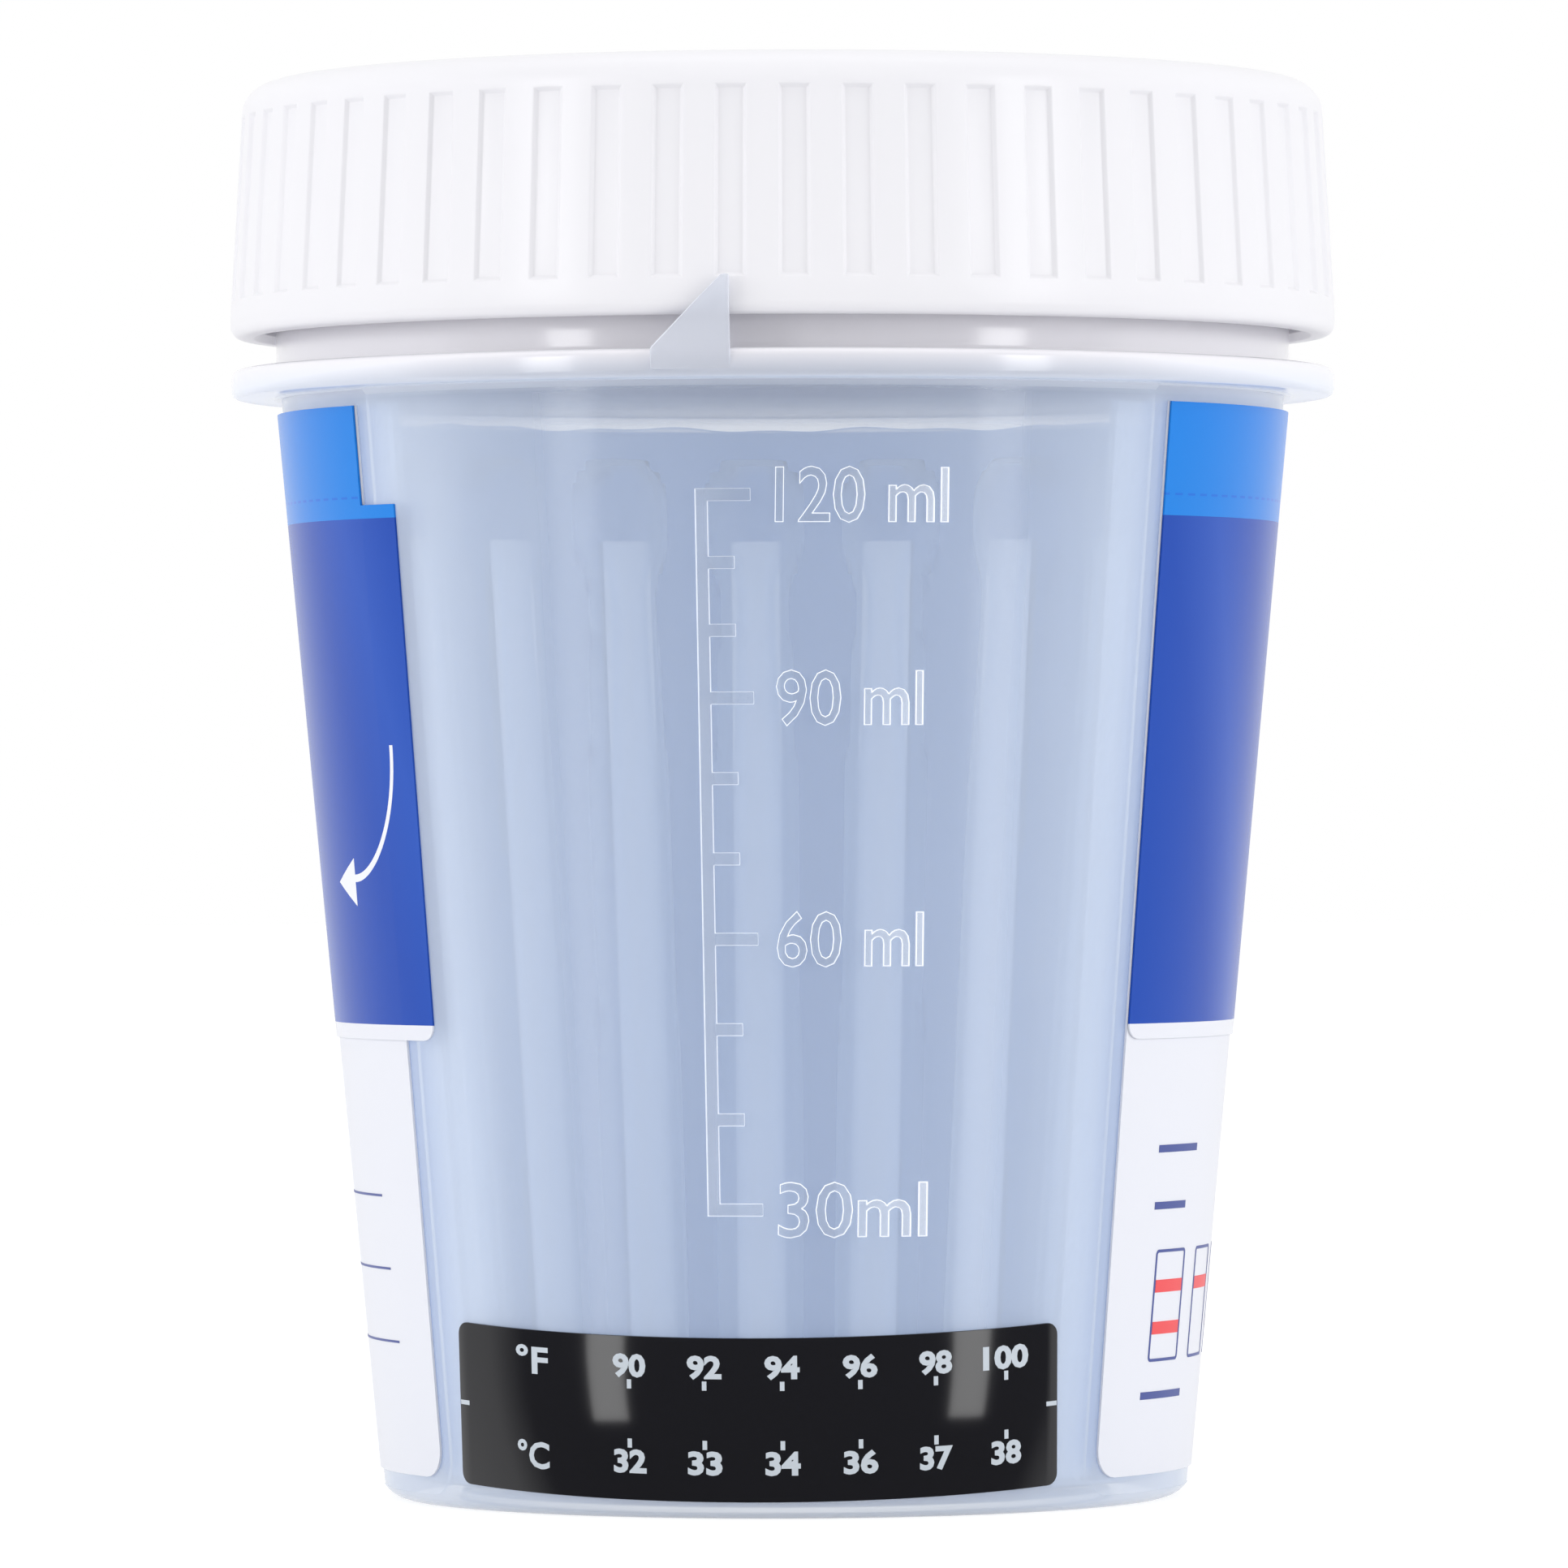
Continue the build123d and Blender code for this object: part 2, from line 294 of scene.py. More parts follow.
def unrolledMap(piece):
    # u is the share of a turn round the axis, v the height over mapHeight
    layer = piece.data.uv_layers.get("unrolled") or piece.data.uv_layers.new(name="unrolled")
    piece.data.uv_layers.active = layer
    for face in piece.data.polygons:
        for corner in face.loop_indices:
            place = piece.data.vertices[piece.data.loops[corner].vertex_index].co
            turn = math.atan2(place.x, -place.y) % math.tau
            layer.data[corner].uv = (turn / math.tau, place.z / (mapHeight * mm))


def finishPiece(piece, materials, body, replaced=()):
    piece.data.materials.clear()
    for material in materials:
        piece.data.materials.append(material)
    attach(piece, body)
    if replaced:
        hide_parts(*replaced)
    print("made", piece.name, len(piece.data.polygons), "faces")


# Shader nodes


def feed(tree, socket, value):
    # the value is a number, a colour or another node's output
    if isinstance(value, bpy.types.NodeSocket):
        tree.links.new(value, socket)
    elif isinstance(value, tuple):
        socket.default_value = (*value, 1)
    else:
        socket.default_value = value


def mathsNode(tree, operation, *values):
    node = tree.nodes.new("ShaderNodeMath")
    node.operation = operation
    for socket, value in zip(node.inputs, values):
        feed(tree, socket, value)
    return node.outputs[0]


def rangeNode(tree, value, fromLow, fromHigh, toLow, toHigh):
    node = tree.nodes.new("ShaderNodeMapRange")
    feed(tree, node.inputs["Value"], value)
    node.inputs["From Min"].default_value = fromLow
    node.inputs["From Max"].default_value = fromHigh
    node.inputs["To Min"].default_value = toLow
    node.inputs["To Max"].default_value = toHigh
    return node.outputs["Result"]


def mixNode(tree, kind, share, under, over):
    node = tree.nodes.new("ShaderNodeMix")
    node.data_type = kind
    feed(tree, node.inputs["Factor"], share)
    feed(tree, node.inputs["A"], under)
    feed(tree, node.inputs["B"], over)
    return node.outputs["Result"]


def noiseNode(tree, place, scale, detail):
    node = tree.nodes.new("ShaderNodeTexNoise")
    node.inputs["Detail"].default_value = detail
    feed(tree, node.inputs["Vector"], place)
    feed(tree, node.inputs["Scale"], scale)
    return node.outputs["Fac"]


def newGroup(name, inputs, outputs):
    group = bpy.data.node_groups.new(name, "ShaderNodeTree")
    for label, kind, value in inputs:
        socket = group.interface.new_socket(label, in_out="INPUT", socket_type=kind)
        socket.default_value = value
    for label, kind in outputs:
        group.interface.new_socket(label, in_out="OUTPUT", socket_type=kind)
    return group, group.nodes.new("NodeGroupInput"), group.nodes.new("NodeGroupOutput")


def mouldedTone():
    # slow cloudiness in the colour and a fine uneven skin
    group, given, result = newGroup(
        "mouldedTone",
        [
            ("Colour", "NodeSocketColor", (0.9, 0.9, 0.9, 1)),
            ("Cloud Size", "NodeSocketFloat", 60.0),
            ("Cloud Amount", "NodeSocketFloat", 0.06),
            ("Skin Size", "NodeSocketFloat", 900.0),
        ],
        [("Colour", "NodeSocketColor"), ("Skin", "NodeSocketFloat")],
    )
    place = group.nodes.new("ShaderNodeTexCoord").outputs["Object"]
    cloud = noiseNode(group, place, given.outputs["Cloud Size"], detail=3)
    skin = noiseNode(group, place, given.outputs["Skin Size"], detail=2)
    change = mathsNode(group, "SUBTRACT", cloud, 0.5)
    level = mathsNode(group, "MULTIPLY_ADD", change, given.outputs["Cloud Amount"], 1.0)
    tint = group.nodes.new("ShaderNodeVectorMath")
    tint.operation = "SCALE"
    feed(group, tint.inputs[0], given.outputs["Colour"])
    feed(group, tint.inputs["Scale"], level)
    feed(group, result.inputs["Colour"], tint.outputs[0])
    feed(group, result.inputs["Skin"], skin)
    return group


toneGroup = mouldedTone()
skinHeight = 0.4


def plastic(name, colour, roughness, skin=0.02, skinSize=900.0, cloud=0.05, cloudSize=60.0, specular=0.5):
    # a moulded or printed surface: clouded colour, and a fine skin in the bump
    material = bpy.data.materials.new(name)
    material.use_nodes = True
    tree = material.node_tree
    shader = tree.nodes["Principled BSDF"]
    tone = tree.nodes.new("ShaderNodeGroup")
    tone.name = "tone"
    tone.node_tree = toneGroup
    tone.inputs["Colour"].default_value = (*colour, 1)
    tone.inputs["Cloud Size"].default_value = cloudSize
    tone.inputs["Cloud Amount"].default_value = cloud
    tone.inputs["Skin Size"].default_value = skinSize
    bump = tree.nodes.new("ShaderNodeBump")
    bump.inputs["Strength"].default_value = skin
    bump.inputs["Distance"].default_value = skinHeight * mm
    feed(tree, bump.inputs["Height"], tone.outputs["Skin"])
    feed(tree, shader.inputs["Base Color"], tone.outputs["Colour"])
    feed(tree, shader.inputs["Normal"], bump.outputs["Normal"])
    shader.inputs["Roughness"].default_value = roughness
    shader.inputs["Specular IOR Level"].default_value = specular
    return material


def paintedGlow(material, colour, strength):
    # painted glow in place of daylight through thin film or plastic, though the part is no lamp; its light is
    # too faint to be worth light samples
    shader = material.node_tree.nodes["Principled BSDF"]
    shader.inputs["Emission Color"].default_value = (*colour, 1)
    shader.inputs["Emission Strength"].default_value = strength
    material.cycles.emission_sampling = "NONE"


# A see-through plastic is a veil over what lies behind it. The collar and the neck are thicker than the wall,
# so their veil is denser from one height to the other. At the neck the veil is also made denser and paler
# as painted light, which brightens the neck where the cap shades it.
veil = {"blend": 0.55, "ior": 1.7, "skinSize": 420.0, "thickFrom": 73.8, "thickTo": 76.2}


def milky(name, colour, faceOn, edgeOn, roughness, full=0.9, specular=1.0, neckVeilAndPaintedLight=0.0, neckColourAndPaintedLight=None):
    # faceOn and edgeOn are how much the veil hides; it reaches edgeOn where Layer Weight comes to full
    material = plastic(name, colour, roughness, specular=specular, skinSize=veil["skinSize"])
    tree = material.node_tree
    shader = tree.nodes["Principled BSDF"]
    weight = tree.nodes.new("ShaderNodeLayerWeight")
    weight.inputs["Blend"].default_value = veil["blend"]
    hidden = rangeNode(tree, weight.outputs["Facing"], 0.0, full, faceOn, edgeOn)
    # a denser, paler veil at the neck: partly the thicker plastic, partly painted light where the cap shades
    # the neck
    if neckVeilAndPaintedLight:
        split = tree.nodes.new("ShaderNodeSeparateXYZ")
        feed(tree, split.inputs[0], tree.nodes.new("ShaderNodeTexCoord").outputs["Object"])
        neckShare = rangeNode(tree, split.outputs["Z"], veil["thickFrom"] * mm, veil["thickTo"] * mm, 0.0, 1.0)
        hidden = mathsNode(tree, "MULTIPLY_ADD", neckShare, neckVeilAndPaintedLight, hidden)
        hidden.node.use_clamp = True
        whole = mixNode(tree, "RGBA", neckShare, tree.nodes["tone"].outputs["Colour"], neckColourAndPaintedLight)
        feed(tree, shader.inputs["Base Color"], whole)
    feed(tree, shader.inputs["Alpha"], hidden)
    shader.inputs["IOR"].default_value = veil["ior"]
    return material


# the neck's denser, paler veil here is partly painted light against the cap's shade
cupPlastic = milky(
    "cupPlastic", (0.76, 0.85, 1.0), faceOn=0.2, edgeOn=0.8, roughness=0.14, specular=0.5,
    neckVeilAndPaintedLight=0.68, neckColourAndPaintedLight=(0.93, 0.92, 0.97),
)
markPlastic = milky(
    "markPlastic", (0.97, 0.98, 1.0), faceOn=0.0, edgeOn=1.0, roughness=0.2, full=0.3, specular=0.5
)
# painted glow on the scale marks, which makes their outlines bright
paintedGlow(markPlastic, (0.97, 0.98, 1.0), 0.25)
tabPlastic = milky("tabPlastic", (0.86, 0.9, 1.0), faceOn=0.55, edgeOn=0.9, roughness=0.15)
holderPlastic = milky("holderPlastic", (0.74, 0.84, 1.0), faceOn=0.36, edgeOn=0.95, roughness=0.2)
# painted glow on the strip holder, which brightens the cup's inside
paintedGlow(holderPlastic, (0.74, 0.84, 1.0), 0.1)
capPlastic = plastic("capPlastic", (0.90, 0.895, 0.93), 0.3, skin=0.03, cloud=0.02)
linerFoam = plastic("linerFoam", (0.86, 0.86, 0.84), 0.7, skin=0.3, skinSize=1800.0)
whiteFilm = plastic("whiteFilm", (0.86, 0.875, 0.94), 0.35, skin=0.01, cloud=0.02)
backFilm = plastic("backFilm", (0.50, 0.66, 0.95), 0.5, cloud=0.08)
# painted glow on the inner side of the base label, in place of daylight through the film
paintedGlow(backFilm, (0.50, 0.68, 1.0), 0.3)
blackFilm = plastic("blackFilm", (0.006, 0.006, 0.009), 0.1, skinSize=160.0)
printWhite = plastic("printWhite", (0.62, 0.68, 0.74), 0.4)
printPaper = plastic("printPaper", (0.92, 0.94, 1.0), 0.4)
printNavy = plastic("printNavy", (0.045, 0.075, 0.32), 0.4)
printRed = plastic("printRed", (0.93, 0.065, 0.075), 0.4)
cardStock = plastic("cardStock", (0.86, 0.87, 0.9), 0.5)
# painted glow on the test cards, which lightens the strips inside the holder
paintedGlow(cardStock, (0.8, 0.88, 1.0), 0.3)
membranePaper = plastic("membranePaper", (0.88, 0.87, 0.86), 0.9, skin=0.2, skinSize=2600.0)
padFibre = plastic(
    "padFibre", (0.84, 0.82, 0.79), 0.95, skin=0.5, skinSize=1500.0, cloud=0.12, cloudSize=400.0
)

# The peel label: light blue at the top with a dashed tear line, dark blue with paler slanting bands below,
# and a white margin at its foot
peelInk = {
    "lightBlue": (0.010, 0.24, 0.80),
    "darkBlue": (0.010, 0.072, 0.46),
    "paleBlue": (0.030, 0.115, 0.56),
    "margin": (0.86, 0.875, 0.94),
    "lightFrom": 65.9,
    "marginTo": 32.3,
    "tearColour": (0.012, 0.12, 0.7),
    "tearLine": 67.3,
    "tearHalf": 0.08,
    "tearStrength": 0.55,
    "dashes": 150,
    "dashShare": 0.6,
    "bands": 9,
    "bandLean": 1.35,
    "bandFrom": 0.25,
    "bandSoft": 0.02,
    "bandStrength": 2.2,
}


def peelFilmMaterial():
    material = plastic("peelFilm", peelInk["darkBlue"], 0.25, skin=0.01, specular=0.2)
    tree = material.node_tree
    unrolled = tree.nodes.new("ShaderNodeUVMap")
    unrolled.uv_map = "unrolled"
    split = tree.nodes.new("ShaderNodeSeparateXYZ")
    feed(tree, split.inputs[0], unrolled.outputs["UV"])
    turn, height = split.outputs["X"], split.outputs["Y"]
    repeats = mathsNode(tree, "MULTIPLY", turn, peelInk["bands"])
    leaning = mathsNode(tree, "MULTIPLY_ADD", height, peelInk["bandLean"], repeats)
    wave = mathsNode(tree, "PINGPONG", leaning, 0.5)
    above = mathsNode(tree, "SUBTRACT", wave, peelInk["bandFrom"])
    crest = mathsNode(tree, "SMOOTH_MAX", above, 0.0, peelInk["bandSoft"])
    band = mathsNode(tree, "MULTIPLY", crest, peelInk["bandStrength"])
    light = mathsNode(tree, "GREATER_THAN", height, peelInk["lightFrom"] / mapHeight)
    margin = mathsNode(tree, "LESS_THAN", height, peelInk["marginTo"] / mapHeight)
    tearLine, tearHalf = peelInk["tearLine"] / mapHeight, peelInk["tearHalf"] / mapHeight
    onLine = mathsNode(tree, "COMPARE", height, tearLine, tearHalf)
    alongLine = mathsNode(tree, "FRACT", mathsNode(tree, "MULTIPLY", turn, peelInk["dashes"]))
    dash = mathsNode(tree, "LESS_THAN", alongLine, peelInk["dashShare"])
    tear = mathsNode(tree, "MULTIPLY", mathsNode(tree, "MULTIPLY", onLine, dash), peelInk["tearStrength"])
    colour = mixNode(tree, "RGBA", band, peelInk["darkBlue"], peelInk["paleBlue"])
    colour = mixNode(tree, "RGBA", light, colour, peelInk["lightBlue"])
    colour = mixNode(tree, "RGBA", margin, colour, peelInk["margin"])
    colour = mixNode(tree, "RGBA", tear, colour, peelInk["tearColour"])
    feed(tree, tree.nodes["tone"].inputs["Colour"], colour)
    return material


peelFilm = peelFilmMaterial()
print("materials ready")

# Camera, softboxes and floor. Clip distances, softbox sizes and the floor's radius are in m, power in W.
view = {
    "azimuth": 5.2,
    "distance": 734.0,
    "height": 45.9,
    "aimHeight": 48.3,
    "lens": 247.8,
    "sensor": 36,
    "roll": -0.17,
    "near": 0.01,
    "far": 20,
}
sideStrip = {"lift": 4, "away": 1.6, "wide": 0.30, "tall": 1.1, "power": 4.2, "shiny": True}
sideFill = {"lift": 10, "away": 1.6, "wide": 0.7, "tall": 1.4, "power": 6.8, "shiny": False}
topSheet = {"lift": 82, "away": 1.5, "wide": 1.0, "tall": 1.0, "power": 4.0, "shiny": False}
softboxes = [
    {"name": "leftStrip", "azimuth": -44, **sideStrip},
    {"name": "rightStrip", "azimuth": 56, **sideStrip},
    {"name": "leftFill", "azimuth": -66, **sideFill},
    {"name": "rightFill", "azimuth": 76, **sideFill},
    {"name": "topFill", "azimuth": 5, **topSheet},
]
# Reflections see a dim room in front of the object and a white one behind it
studio = {
    "aimHeight": 50,
    "white": 1.0,
    "level": 0.64,
    "dimLevel": 0.18,
    "dimFrom": 0.05,
    "dimTo": 0.25,
    "floorRadius": 4.0,
    "floorColour": (0.93, 0.93, 0.94),
    "floorGlow": 1.2,
    "floorShare": 0.72,
}


def addCamera():
    camera = bpy.data.objects.new("camera", bpy.data.cameras.new("camera"))
    scene.collection.objects.link(camera)
    scene.camera = camera
    turn = math.radians(view["azimuth"])
    away = view["distance"] * mm
    camera.location = (away * math.sin(turn), -away * math.cos(turn), view["height"] * mm)
    aim = Vector((0, 0, view["aimHeight"] * mm)) - camera.location
    look = aim.to_track_quat("-Z", "Y").to_matrix().to_4x4()
    tip = look @ Matrix.Rotation(math.radians(view["roll"]), 4, "Z")
    camera.rotation_euler = tip.to_euler()
    camera.data.lens = view["lens"]
    camera.data.sensor_width = view["sensor"]
    camera.data.clip_start = view["near"]
    camera.data.clip_end = view["far"]


def addSoftboxes():
    for box in softboxes:
        light = bpy.data.lights.new(box["name"], "AREA")
        light.shape = "RECTANGLE"
        light.size, light.size_y, light.energy = box["wide"], box["tall"], box["power"]
        lamp = bpy.data.objects.new(box["name"], light)
        scene.collection.objects.link(lamp)
        lamp.visible_camera = False
        lamp.visible_glossy = box["shiny"]
        turn, lift = math.radians(box["azimuth"]), math.radians(box["lift"])
        level = math.cos(lift)
        way = Vector((math.sin(turn) * level, -math.cos(turn) * level, math.sin(lift)))
        lamp.location = Vector((0, 0, studio["aimHeight"] * mm)) + way * box["away"]
        lamp.rotation_euler = way.to_track_quat("Z", "Y").to_euler()


def addRoom():
    scene.world = bpy.data.worlds.new("studio")
    scene.world.use_nodes = True
    tree = scene.world.node_tree
    path = tree.nodes.new("ShaderNodeLightPath")
    turn = math.radians(view["azimuth"])
    towards = tree.nodes.new("ShaderNodeVectorMath")
    towards.operation = "DOT_PRODUCT"
    towards.inputs[1].default_value = (math.sin(turn), -math.cos(turn), 0)
    feed(tree, towards.inputs[0], tree.nodes.new("ShaderNodeTexCoord").outputs["Generated"])
    front = towards.outputs["Value"]
    room = rangeNode(tree, front, studio["dimFrom"], studio["dimTo"], studio["white"], studio["dimLevel"])
    level = mixNode(tree, "FLOAT", path.outputs["Is Glossy Ray"], studio["level"], room)
    level = mixNode(tree, "FLOAT", path.outputs["Is Camera Ray"], level, studio["white"])
    background = tree.nodes["Background"]
    background.inputs["Color"].default_value = (1, 1, 1, 1)
    feed(tree, background.inputs["Strength"], level)


def mixShaders(tree, share, under, over):
    node = tree.nodes.new("ShaderNodeMixShader")
    for socket, value in zip(node.inputs, (share, under, over)):
        tree.links.new(value, socket)
    return node.outputs[0]


def addFloor():
    # white to the camera, left out of reflections, and open from beneath
    bpy.ops.object.select_all(action="DESELECT")
    bpy.ops.mesh.primitive_circle_add(
        vertices=96, radius=studio["floorRadius"], fill_type="NGON", location=(0, 0, 0)
    )
    floor = justAdded("floor")
    material = bpy.data.materials.new("paleFloor")
    material.use_nodes = True
    tree = material.node_tree
    shader = tree.nodes["Principled BSDF"]
    shader.inputs["Base Color"].default_value = (*studio["floorColour"], 1)
    shader.inputs["Roughness"].default_value = 0.8
    glow = tree.nodes.new("ShaderNodeEmission")
    glow.inputs["Strength"].default_value = studio["floorGlow"]
    path = tree.nodes.new("ShaderNodeLightPath")
    share = mathsNode(tree, "MULTIPLY", path.outputs["Is Camera Ray"], studio["floorShare"])
    lit = mixShaders(tree, share, shader.outputs[0], glow.outputs[0])
    beneath = tree.nodes.new("ShaderNodeNewGeometry").outputs["Backfacing"]
    unseen = mathsNode(tree, "MAXIMUM", beneath, path.outputs["Is Glossy Ray"])
    clear = tree.nodes.new("ShaderNodeBsdfTransparent")
    oneSided = mixShaders(tree, unseen, lit, clear.outputs[0])
    feed(tree, tree.nodes["Material Output"].inputs["Surface"], oneSided)
    material.cycles.emission_sampling = "NONE"
    floor.data.materials.append(material)


addCamera()
addSoftboxes()
addRoom()
addFloor()
scene.view_settings.view_transform = "Standard"
# With five lights it is quicker to choose among them by power alone
scene.cycles.use_light_tree = False
print("camera, lights and floor ready")

# The cup: a turned shell with a shallow field for the labels, a thread, a lift tab and a raised scale.
# Levels are heights, and a side or a fillet is a list of (out, height) or (out, up) steps.
cup = {
    "segments": 360,
    "middle": 2.0,
    "footRound": 2.0,
    "recessRadius": 22.0,
    "recessDepth": 0.6,
    "recessSide": [(-0.2, 0.6), (0.0, 0.5), (0.1, 0.15), (0.35, 0.0)],
    "outerLevels": [8, 20, 32, 44, 56, 68, 74.1],
    "collarRoot": 0.3,
    "collarRadius": 37.45,
    "collarThickness": 1.9,
    "collarEdge": 0.5,
    "neckFillet": [(0.4, 0.0), (0.1, 0.12), (0.0, 0.5)],
    "neckRadius": 34.4,
    "neckInner": 33.1,
    "height": 93.4,
    "rimRound": 0.35,
    "innerLevels": [74, 62, 50, 38, 26, 14, 3.0],
    "base": 1.5,
    "innerFillet": [(-0.05, 0.7), (-0.3, 0.25), (-0.8, 0.0)],
    "threadStart": 84.4,
    "threadTurns": 1.5,
}


def makeCup():
    collar, top = wall["collarHeight"], wall["collarHeight"] + cup["collarThickness"]
    edge, rim, foot = cup["collarEdge"], cup["rimRound"], cup["footRound"]
    footCentre = (wallRadius(foot) - foot / math.cos(wallTilt), foot)
    collarReach, rimHeight = cup["collarRadius"] - edge, cup["height"] - rim
    floorRadius = wallRadius(cup["base"]) - wall["thickness"]
    rings = [(cup["middle"], cup["recessDepth"])]
    rings += [(cup["recessRadius"] + out, height) for out, height in cup["recessSide"]]
    rings += arcRings(footCentre, foot, -90, -wall["taper"], 7)
    rings += [(wallRadius(height), height) for height in cup["outerLevels"]]
    rings += [(wallRadius(collar) + cup["collarRoot"], collar)]
    rings += arcRings((collarReach, collar + edge), edge, -90, 0, 4)
    rings += arcRings((collarReach, top - edge), edge, 0, 90, 4)
    rings += [(cup["neckRadius"] + out, top + up) for out, up in cup["neckFillet"]]
    rings += arcRings((cup["neckRadius"] - rim, rimHeight), rim, 0, 90, 4)
    rings += arcRings((cup["neckInner"] + rim, rimHeight), rim, 90, 180, 4)
    rings += [(cup["neckInner"], top)]
    rings += [(wallRadius(height) - wall["thickness"], height) for height in cup["innerLevels"]]
    rings += [(floorRadius + out, cup["base"] + up) for out, up in cup["innerFillet"]]
    rings += [(cup["middle"], cup["base"])]
    return turned("cupShell", rings, cup["segments"])


panel = {
    "right": 51.0,
    "left": -48.5,
    "low": 0.9,
    "high": 74.4,
    "rounding": 2.6,
    "depth": 0.25,
    "clearance": 0.6,
    "slice": 1.0,
}


def cutLabelPanel(piece):
    # the shallow field round the back in which the labels lie
    span = (360 + panel["left"] - panel["right"]) * degreeLength
    tall = panel["high"] - panel["low"]
    cutter = flatPlate("panelCutter", 0, span, 0, tall, panel["rounding"], "low")
    sliceAcross(cutter, panel["slice"])
    thicken(cutter, panel["depth"] + panel["clearance"])
    wrapOnWall(cutter, panel["right"], panel["low"], straight=True, out=-panel["depth"])
    combine(piece, cutter, "DIFFERENCE")


thread = {"pitch": 4.0, "depth": 0.8, "root": 2.0, "crest": 1.0, "sink": 0.15, "stepsPerTurn": 96}


def makeThread(name, radius, startHeight, turns, inward):
    bpy.ops.object.select_all(action="DESELECT")
    bpy.ops.mesh.primitive_plane_add(size=1, location=(0, 0, 0), rotation=(math.pi / 2, 0, 0))
    piece = justAdded(name)
    settle(piece)
    way = -1 if inward else 1
    for point in piece.data.vertices:
        atCrest = (point.co.x > 0) != inward
        radial = radius + way * (thread["depth"] if atCrest else -thread["sink"])
        half = thread["crest" if atCrest else "root"] / 2
        point.co = Vector((radial, 0, startHeight + math.copysign(half, point.co.z))) * mm
    spiral = piece.modifiers.new("spiral", "SCREW")
    spiral.axis = "Z"
    spiral.angle = math.tau * turns
    spiral.screw_offset = thread["pitch"] * turns * mm
    spiral.steps = spiral.render_steps = round(thread["stepsPerTurn"] * turns)
    applyAll(piece)
    startEdit(piece)
    weldPoints(0.01)
    faceOutwards()
    endEdit()
    smoothShade(piece, 30)
    return piece


tab = {
    "base": 5.2,
    "top": 1.3,
    "bottom": 75.0,
    "shoulder": 1.4,
    "bendHeight": 79.3,
    "tip": 81.1,
    "face": 37.9,
    "lean": 1.05,
    "thickness": 0.6,
    "edge": 0.14,
}


def makeTab():
    # an upright blade on the collar that leans towards the neck below its bend, its left corner cut away
    bpy.ops.object.select_all(action="DESELECT")
    blade = tab["tip"] - tab["bendHeight"]
    outside = tab["face"] + tab["thickness"] / 2
    middle = (-tab["base"] / 2 * mm, -outside * mm, (tab["bendHeight"] + tab["tip"]) / 2 * mm)
    bpy.ops.mesh.primitive_cube_add(size=1, location=middle)
    piece = justAdded("liftTab")
    piece.scale = (tab["base"] * mm, tab["thickness"] * mm, blade * mm)
    settle(piece)
    startEdit(piece)
    bladeFoot = (tab["bendHeight"] + blade / 10) * mm
    pickFaces(piece, lambda centre: centre.z < bladeFoot)
    drop = (tab["bottom"] - tab["bendHeight"]) * mm
    bpy.ops.mesh.extrude_region_move(TRANSFORM_OT_translate={"value": (0, tab["lean"] * mm, drop)})
    pickAll()
    corner = (-tab["base"] * mm, 0, (tab["bottom"] + tab["shoulder"]) * mm)
    rise = tab["tip"] - tab["bottom"] - tab["shoulder"]
    slope = (-rise, 0, tab["base"] - tab["top"])
    bpy.ops.mesh.bisect(plane_co=corner, plane_no=slope, use_fill=True, clear_outer=True)
    faceOutwards()
    endEdit()
    softenEdges(piece, tab["edge"])
    smoothShade(piece, 35)
    return piece


volumeScale = {
    "angle": -3.9,
    "bar": 0.8,
    "long": 3.6,
    "short": 2.5,
    "steps": 3,
    "relief": 0.3,
    "sink": 0.2,
    "edge": 0.17,
    "levels": [20.4, 38.1, 53.8, 67.0],
    "words": ["30ml", "60 ml", "90 ml", "120 ml"],
    "widths": [9.87, 9.65, 9.68, 11.45],
    "letterHeight": 3.7,
    "letterStart": 4.3,
    "letterThickness": 0.1,
    "letterEdge": 0.14,
    "letterOut": 0.12,
    "slice": 0.8,
}


def makeVolumeScale():
    levels, half = volumeScale["levels"], volumeScale["bar"] / 2
    thickness = volumeScale["relief"] + volumeScale["sink"]
    marks = flatPlate("bar", -half, half, levels[0] - half, levels[-1] + half, thickness=thickness)
    steps = []
    for low, high in zip(levels, levels[1:]):
        for i in range(volumeScale["steps"]):
            reach = volumeScale["short"] if i else volumeScale["long"]
            steps.append((low + (high - low) * i / volumeScale["steps"], reach))
    steps.append((levels[-1], volumeScale["long"]))
    plates = [
        flatPlate("bar", -half, reach - half, level - half, level + half, thickness=thickness)
        for level, reach in steps
    ]
    for plate in plates:
        combine(marks, plate, "UNION")
    softenEdges(marks, volumeScale["edge"])
    sliceAcross(marks, volumeScale["slice"])
    wrapOnWall(marks, volumeScale["angle"], 0.0, out=-volumeScale["sink"])
    pieces = [marks]
    height, letterThickness = volumeScale["letterHeight"], volumeScale["letterThickness"]
    for level, words, width in zip(levels, volumeScale["words"], volumeScale["widths"]):
        text = flatText(words, height, width, letterThickness, edge=volumeScale["letterEdge"])
        sliceAcross(text, volumeScale["slice"])
        middle = volumeScale["letterStart"] + math.degrees(width / 2 / wallRadius(level))
        wrapOnWall(text, middle, level, out=volumeScale["letterOut"])
        pieces.append(text)
    return joined("volumeScale", pieces)


cupShell = makeCup()
cutLabelPanel(cupShell)
smoothShade(cupShell, 30)
finishPiece(cupShell, [cupPlastic], "cup", ["cup_body"])
neckThread = makeThread("neckThread", cup["neckRadius"], cup["threadStart"], cup["threadTurns"], inward=False)
finishPiece(neckThread, [cupPlastic], "cup")
finishPiece(makeTab(), [tabPlastic], "cup")
scaleMarks = makeVolumeScale()
smoothShade(scaleMarks, 12)
finishPiece(scaleMarks, [markPlastic], "cup")
print("cup ready")

